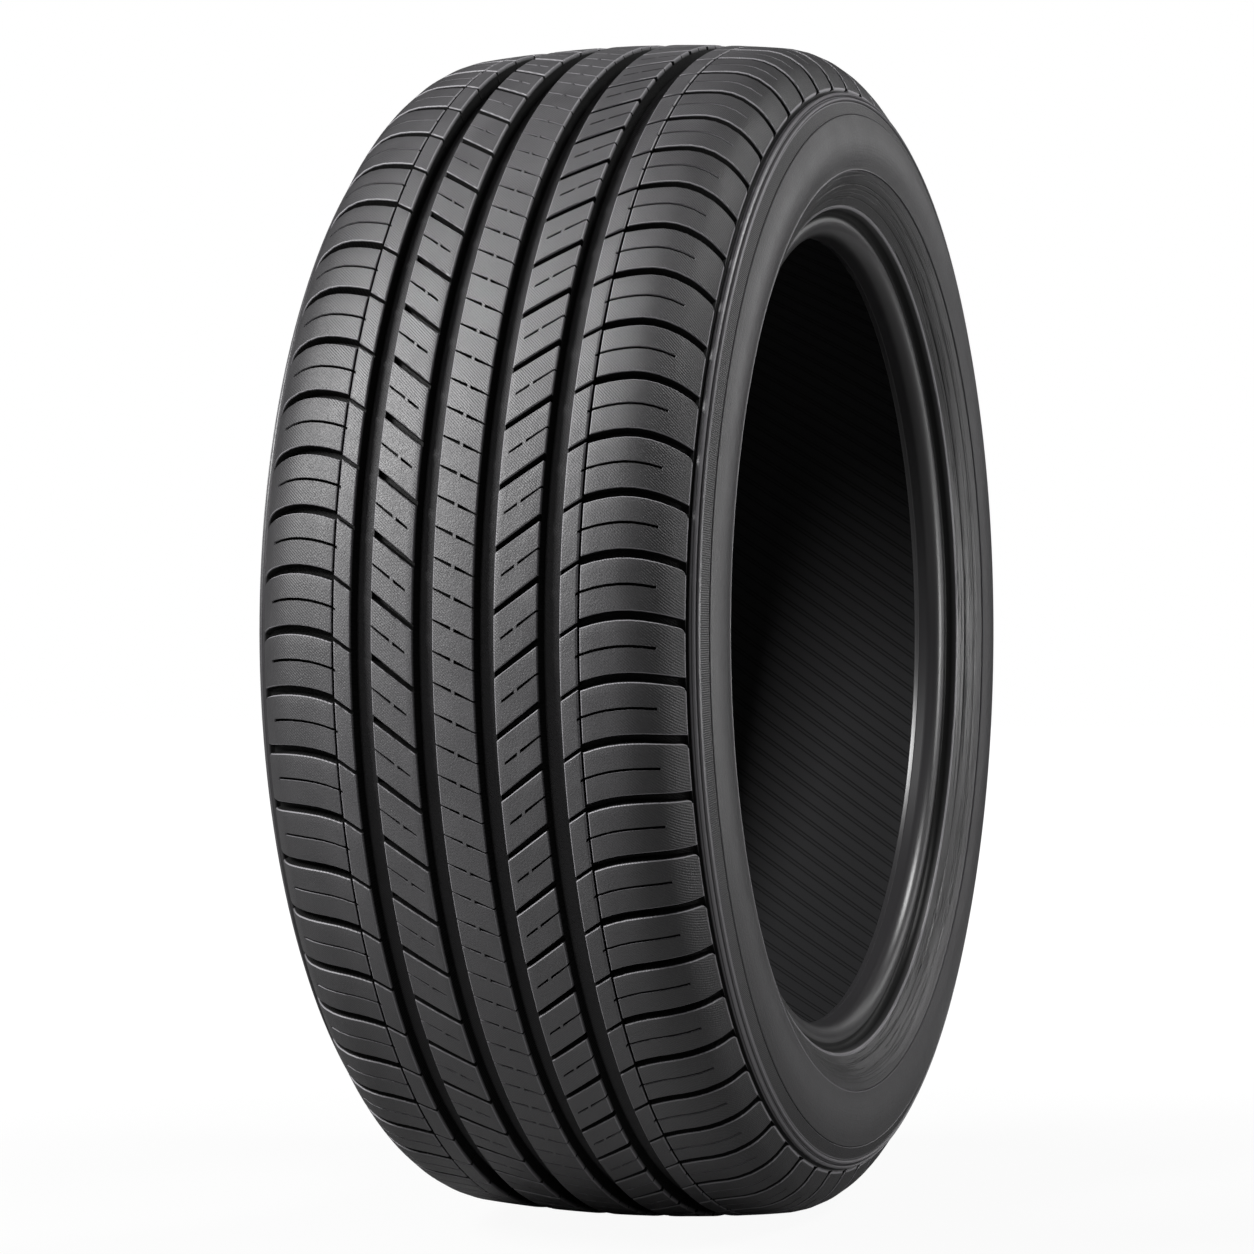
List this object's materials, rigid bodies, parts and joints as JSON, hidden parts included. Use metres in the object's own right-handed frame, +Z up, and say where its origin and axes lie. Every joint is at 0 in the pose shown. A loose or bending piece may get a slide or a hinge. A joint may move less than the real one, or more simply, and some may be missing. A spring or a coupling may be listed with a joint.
{
  "type": "car tyre",
  "caption": "Pneumatic radial road tyre, off its rim: grooved tread with slotted ribs and shoulder blocks, smooth bulging sidewalls and an open air cavity between two beads.",
  "frame": {"origin": "wheel centre, on the axle line midway between the two sidewalls", "axes": "+Y along the axle line, away from the sidewall that the picture shows; +Z up, with the tyre standing on its tread; +X the rolling direction"},
  "size_m": [0.6528, 0.246, 0.652],
  "materials": {
    "tyre_rubber": "matte"
  },
  "bodies": {
    "root": {"tyre": "tyre_rubber"}
  },
  "joints": []
}
